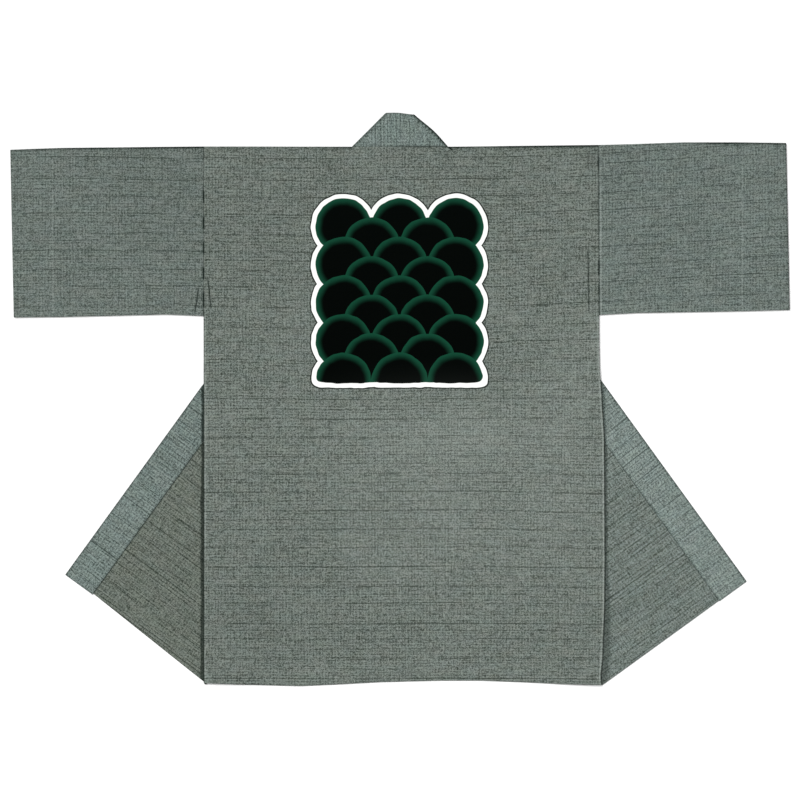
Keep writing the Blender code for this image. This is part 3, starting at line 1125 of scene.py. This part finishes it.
def slub_picks(tree, along, up, spacing, half_width, dash, darkening):
    """Darkening along uneven picks that come at a spacing and are broken into dashes."""
    pick = add(tree, MATH, (up, spacing), "DIVIDE")
    pick = add(tree, MATH, (pick,), "ROUND")
    shift = add(tree, "ShaderNodeTexWhiteNoise", {"W": pick}, noise_dimensions="1D")
    middle = add(tree, MATH, (shift, 0.25, pick), "MULTIPLY_ADD")
    middle = add(tree, MATH, (middle, spacing, -0.125 * spacing), "MULTIPLY_ADD")
    off = add(tree, MATH, (up, middle), "SUBTRACT")
    off = add(tree, MATH, (off,), "ABSOLUTE")
    soft_edge = {"Value": off, "From Min": 1.4 * half_width, "From Max": 0.5 * half_width}
    line = add(tree, RANGE, soft_edge)
    far = add(tree, MATH, (along, dash), "DIVIDE")
    row = add(tree, MATH, (pick, 7.3), "MULTIPLY")
    dashes = {"Vector": add(tree, XYZ, (far, row)), "Scale": 1.0, "Detail": 1.0, "Roughness": 0.7}
    broken = add(tree, NOISE, dashes, noise_dimensions="2D")
    limits = {"Value": broken, "From Min": 0.36, "From Max": 0.62, "To Max": darkening}
    shown = add(tree, RANGE, limits)
    return add(tree, MATH, (line, shown), "MULTIPLY")


def wave_scales(tree, cotton_colour):
    """Rows of overlapping wave scales dyed nearly black, green at their tops, in a pale band."""
    place = add(tree, "ShaderNodeTexCoord", output="Object")
    waver = add(tree, NOISE, {"Vector": place, "Scale": 55.0, "Detail": 1.0}, output="Color")
    waver = add(tree, VECTOR, (waver, (0.5, 0.5, 0.5)), "SUBTRACT")
    place = add(tree, VECTOR, (waver, DESIGN_WAVER, place), "MULTIPLY_ADD")
    place = add(tree, VECTOR, (place, (1, 1, 0), DESIGN_SHIFT), "MULTIPLY_ADD")
    across, up, _ = add(tree, "ShaderNodeSeparateXYZ", (place,)).node.outputs
    column = add(tree, MATH, (across, 0.5 / SCALE_RADIUS, 0.5), "MULTIPLY_ADD")
    nearest_row = add(tree, MATH, (up, SCALE_PITCH), "DIVIDE")
    nearest_row = add(tree, MATH, (nearest_row,), "ROUND")
    whole, shown = -1.0, 0.0
    for step in (1, 0, -1):
        row = add(tree, MATH, (nearest_row, step), "ADD")
        row = add(tree, MATH, (row, 0.0), "MAXIMUM")
        row = add(tree, MATH, (row, SCALE_ROWS - 1), "MINIMUM")
        shift = add(tree, MATH, (row, 0.5), "MULTIPLY")
        shift = add(tree, MATH, (shift, 0.5), "PINGPONG")
        last = add(tree, MATH, (shift, -2.0, 1.0), "MULTIPLY_ADD")
        nearest = add(tree, MATH, (column, shift), "SUBTRACT")
        nearest = add(tree, MATH, (nearest,), "FLOOR")
        nearest = add(tree, MATH, (nearest, -1.0), "MAXIMUM")
        nearest = add(tree, MATH, (nearest, last), "MINIMUM")
        nearest = add(tree, MATH, (nearest, shift), "ADD")
        middle = add(tree, XYZ, (nearest, row))
        pitch = (2 * SCALE_RADIUS, SCALE_PITCH, 0)
        middle = add(tree, VECTOR, (middle, pitch), "MULTIPLY")
        away = add(tree, VECTOR, (place, middle), "DISTANCE", "Value")
        depth = add(tree, MATH, (SCALE_RADIUS, away), "SUBTRACT")
        covers = add(tree, MATH, (depth, 0.0), "GREATER_THAN")
        shown = add(tree, MIX, {0: covers, 2: shown, 3: depth})
        whole = add(tree, MATH, (whole, depth), "MAXIMUM")
    from_base = add(tree, MATH, (up, SCALE_BASE), "ADD")
    whole = add(tree, MATH, (whole, from_base, 0.024), "SMOOTH_MIN")
    glow = {"Value": shown, "From Min": 0.0, "From Max": DESIGN_GLOW}
    deep = add(tree, RANGE, glow, interpolation_type="SMOOTHSTEP")
    dye = add(tree, MIX, {0: deep, 6: linear(SCALE_GREEN), 7: linear(SCALE_BLACK)}, **COLOURS)
    undyed = add(tree, MIX, {0: 0.08, 6: linear(UNDYED), 7: cotton_colour}, **COLOURS)
    colour = cotton_colour
    for reach, most, laid in (
        (DESIGN_BAND + DESIGN_RIM, 0.94, linear(RIM)),
        (DESIGN_BAND, 1.0, undyed),
        (0.0, 1.0, dye),
    ):
        edge = {"From Min": -reach - DESIGN_SHARP, "From Max": -reach + DESIGN_SHARP}
        share = add(tree, RANGE, {"Value": whole, "To Max": most, **edge})
        colour = add(tree, MIX, {0: share, 6: colour, 7: laid}, **COLOURS)
    return colour


def slub_cotton(name, weave=BODY_WEAVE, design=False):
    """Yarn-dyed cotton, plain woven with uneven slub weft: matt, flecked and faintly barred."""
    material, tree = new_material("slub_cotton_" + name)
    woven = add(tree, "ShaderNodeUVMap", uv_map="weave")
    along, up, _ = add(tree, "ShaderNodeSeparateXYZ", (woven,)).node.outputs
    up = spotted(tree, woven, up, WEFT_SWAY)
    threads = add(tree, XYZ, (along, up))
    crossing = add(tree, VECTOR, (threads, (*KNOT, 1)), "SNAP")
    knot = add(tree, "ShaderNodeTexWhiteNoise", {"Vector": crossing}, noise_dimensions="2D")
    about = add(tree, MATH, (knot, 0.5), "SUBTRACT")
    value = add(tree, MATH, (about, weave.knot_depth, EVEN_TONE), "MULTIPLY_ADD")
    for place, (period, depth) in zip((along, up), RIBS):
        turn = add(tree, MATH, (place, math.tau / period), "MULTIPLY")
        rib = add(tree, MATH, (turn,), "SINE")
        value = add(tree, MATH, (rib, depth, value), "MULTIPLY_ADD")
    value = spotted(tree, threads, value, weave.spots)
    for pick in weave.picks:
        darker = slub_picks(tree, along, up, *pick)
        value = add(tree, MATH, (value, darker), "SUBTRACT")
    dark, light = COTTONS[name]
    tones = {0: value, 6: linear(dark), 7: linear(light)}
    colour = add(tree, MIX, tones, clamp_factor=True, **COLOURS)
    place = add(tree, VECTOR, (threads, (*DYE_REACH, 1)), "DIVIDE")
    clouds = {"Vector": place, "Scale": 1.0, "Detail": 4.0, "Roughness": 0.75}
    drift = add(tree, NOISE, clouds, output="Color", noise_dimensions="2D")
    least = tuple(1 - swing / 2 for swing in DYE_DRIFT)
    drift = add(tree, VECTOR, (drift, DYE_DRIFT, least), "MULTIPLY_ADD")
    colour = add(tree, VECTOR, (colour, drift), "MULTIPLY")
    if design:
        colour = wave_scales(tree, colour)
    # Painted shade and painted light from the piece's shade values: darker towards the shaded
    # colour, paler towards the light colour
    shade = add(tree, "ShaderNodeAttribute", output="Fac", attribute_name="shade")
    darker = add(tree, MATH, (shade, 0.0), "MAXIMUM")
    paler = add(tree, MATH, (shade, -1.0), "MULTIPLY")
    paler = add(tree, MATH, (paler, 0.0), "MAXIMUM")
    for share, tint in ((darker, SHADED), (paler, PAINTED_LIGHT)):
        colour = add(tree, MIX, {0: share, 6: colour, 7: linear(tint)}, **COLOURS)
    bump = add(tree, "ShaderNodeBump", {"Height": value, "Strength": 0.35, "Distance": 0.0004})
    rough = add(tree, RANGE, {"Value": value, "To Min": 0.97, "To Max": 0.85})
    cloth = {"Base Color": colour, "Roughness": rough, "Normal": bump, "Specular IOR Level": 0.02}
    shader = add(tree, "ShaderNodeBsdfPrincipled", cloth)
    add(tree, "ShaderNodeOutputMaterial", {"Surface": shader})
    return material


def cotton_thread():
    """Twisted cotton sewing thread: matt, with a faint slant of its plies."""
    material, tree = new_material("twisted_cotton_thread")
    place = add(tree, "ShaderNodeTexCoord", output="Object")
    slant = add(tree, VECTOR, (place, (900, 500, 900)), "MULTIPLY")
    ply = add(tree, NOISE, {"Vector": slant, "Scale": 1.0, "Detail": 1.0})
    dark, light = THREAD_TONES
    colour = add(tree, MIX, {0: ply, 6: linear(dark), 7: linear(light)}, **COLOURS)
    bump = add(tree, "ShaderNodeBump", {"Height": ply, "Strength": 0.3, "Distance": 0.0001})
    thread = {"Base Color": colour, "Roughness": 0.85, "Normal": bump, "Specular IOR Level": 0.3}
    shader = add(tree, "ShaderNodeBsdfPrincipled", thread)
    add(tree, "ShaderNodeOutputMaterial", {"Surface": shader})
    return material


def plain_floor():
    """Matt painted board: pale and even."""
    material = bpy.data.materials.new("matt_white_board")
    material.use_nodes = True
    shader = material.node_tree.nodes["Principled BSDF"]
    shader.inputs["Base Color"].default_value = linear(BOARD)
    shader.inputs["Roughness"].default_value = 0.95
    shader.inputs["Specular IOR Level"].default_value = 0.0
    return material


# Stitches

def row_of_stitches(material):
    """Stitches along a path: short rounded bars of thread, half sunk in the cloth."""
    tree = bpy.data.node_groups.new("row_of_stitches", "GeometryNodeTree")
    tree.interface.new_socket("Geometry", in_out="INPUT", socket_type="NodeSocketGeometry")
    for name in STITCH_SIZES:
        tree.interface.new_socket(name, in_out="INPUT", socket_type="NodeSocketFloat")
    tree.interface.new_socket("Geometry", in_out="OUTPUT", socket_type="NodeSocketGeometry")
    given = add(tree, "NodeGroupInput").node.outputs
    path = add(tree, "GeometryNodeMeshToCurve", {"Mesh": given["Geometry"]})
    every = {"Curve": path, "Length": given["Spacing"]}
    holes = add(tree, "GeometryNodeResampleCurve", every, mode="LENGTH")
    tangent = add(tree, "GeometryNodeInputTangent")
    turn = add(tree, "FunctionNodeAlignRotationToVector", {"Vector": tangent}, axis="X")
    size = add(tree, XYZ, (given["Length"], given["Width"], given["Width"]))
    bar = add(tree, "GeometryNodeMeshUVSphere", {"Segments": 6, "Rings": 4, "Radius": 0.5})
    between = {0: (0.75, 0.8, 0.7), 1: (1.2, 1.15, 1.0), "Seed": 11}
    uneven = add(tree, "FunctionNodeRandomValue", between, data_type="FLOAT_VECTOR")
    scale = add(tree, VECTOR, (size, uneven), "MULTIPLY")
    placed = {"Points": holes, "Instance": bar, "Rotation": turn, "Scale": scale}
    bars = add(tree, "GeometryNodeInstanceOnPoints", placed)
    real = add(tree, "GeometryNodeRealizeInstances", {"Geometry": bars})
    done = add(tree, "GeometryNodeSetMaterial", {"Geometry": real, "Material": material})
    add(tree, "NodeGroupOutput", {"Geometry": done})
    return tree


def sew(piece, paths, tree):
    """Sew a piece along paths of points, as one plain mesh of stitches."""
    mesh = bpy.data.meshes.new("stitches")
    ends = np.cumsum([len(path) for path in paths])
    starts = ends - [len(path) for path in paths]
    edges = [(i, i + 1) for start, end in zip(starts, ends) for i in range(start, end - 1)]
    mesh.from_pydata(np.concatenate(paths).tolist(), edges, [])
    stitches = add_object("stitches_" + piece.name.removeprefix("cloth_"), mesh)
    row = stitches.modifiers.new("row", "NODES")
    row.node_group = tree
    for socket in tree.interface.items_tree:
        if socket.in_out == "INPUT" and socket.name in STITCH_SIZES:
            row[socket.identifier] = STITCH_SIZES[socket.name]
    evaluated = stitches.evaluated_get(bpy.context.evaluated_depsgraph_get())
    sewn = bpy.data.meshes.new_from_object(evaluated)
    stitches.modifiers.clear()
    stitches.data = sewn
    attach(stitches, "root")
    return stitches


# Floor, light and camera

def make_floor():
    mesh = bpy.data.meshes.new("floor")
    ways = ((-1, -1), (1, -1), (1, 1), (-1, 1))
    corners = [(x * FLOOR_REACH, y * FLOOR_REACH, 0) for x, y in ways]
    mesh.from_pydata(corners, [], [(0, 1, 2, 3)])
    mesh.materials.append(plain_floor())
    floor = add_object("floor", mesh)
    return floor


def make_key_light():
    """A broad sun, turned from its place towards the origin."""
    light = bpy.data.lights.new("key", "SUN")
    light.angle = math.radians(KEY_SPREAD)
    light.energy = KEY_POWER
    lamp = add_object("key", light)
    lamp.location = KEY_PLACE
    x, y, z = KEY_PLACE
    lamp.rotation_euler = (math.acos(z / math.hypot(x, y, z)), 0, math.atan2(-y, -x) - math.pi / 2)


def make_studio():
    scene = bpy.context.scene
    scene.view_settings.view_transform = "Standard"
    world = bpy.data.worlds.new("soft_studio")
    world.use_nodes = True
    sky = world.node_tree.nodes["Background"]
    sky.inputs["Color"].default_value = (1, 1, 1, 1)
    sky.inputs["Strength"].default_value = SKY_STRENGTH
    scene.world = world
    make_key_light()
    camera = bpy.data.cameras.new("camera")
    camera.lens = LENS
    camera.sensor_width = SENSOR
    camera.clip_end = 100
    viewer = add_object("camera", camera)
    viewer.location = CAMERA_PLACE
    scene.camera = viewer


def main():
    make_studio()
    floor = make_floor()
    tree = row_of_stitches(cotton_thread())
    back, hem = make_back(slub_cotton("back", design=True))
    fronts = [make_front(side, slub_cotton("front_" + side.name, CORNER_WEAVE)) for side in SIDES]
    sleeves = [make_sleeve(side, slub_cotton("sleeve_" + side.name)) for side in SIDES]
    collar, seams = make_collar(slub_cotton("collar", CORNER_WEAVE))
    sewn = [sew(back, hem, tree)]
    for front, paths in fronts:
        sewn = [sew(front, paths, tree)]
    for sleeve, paths in sleeves:
        sewn = [sew(sleeve, paths, tree)]
    sewn = [sew(collar, seams, tree)]


main()
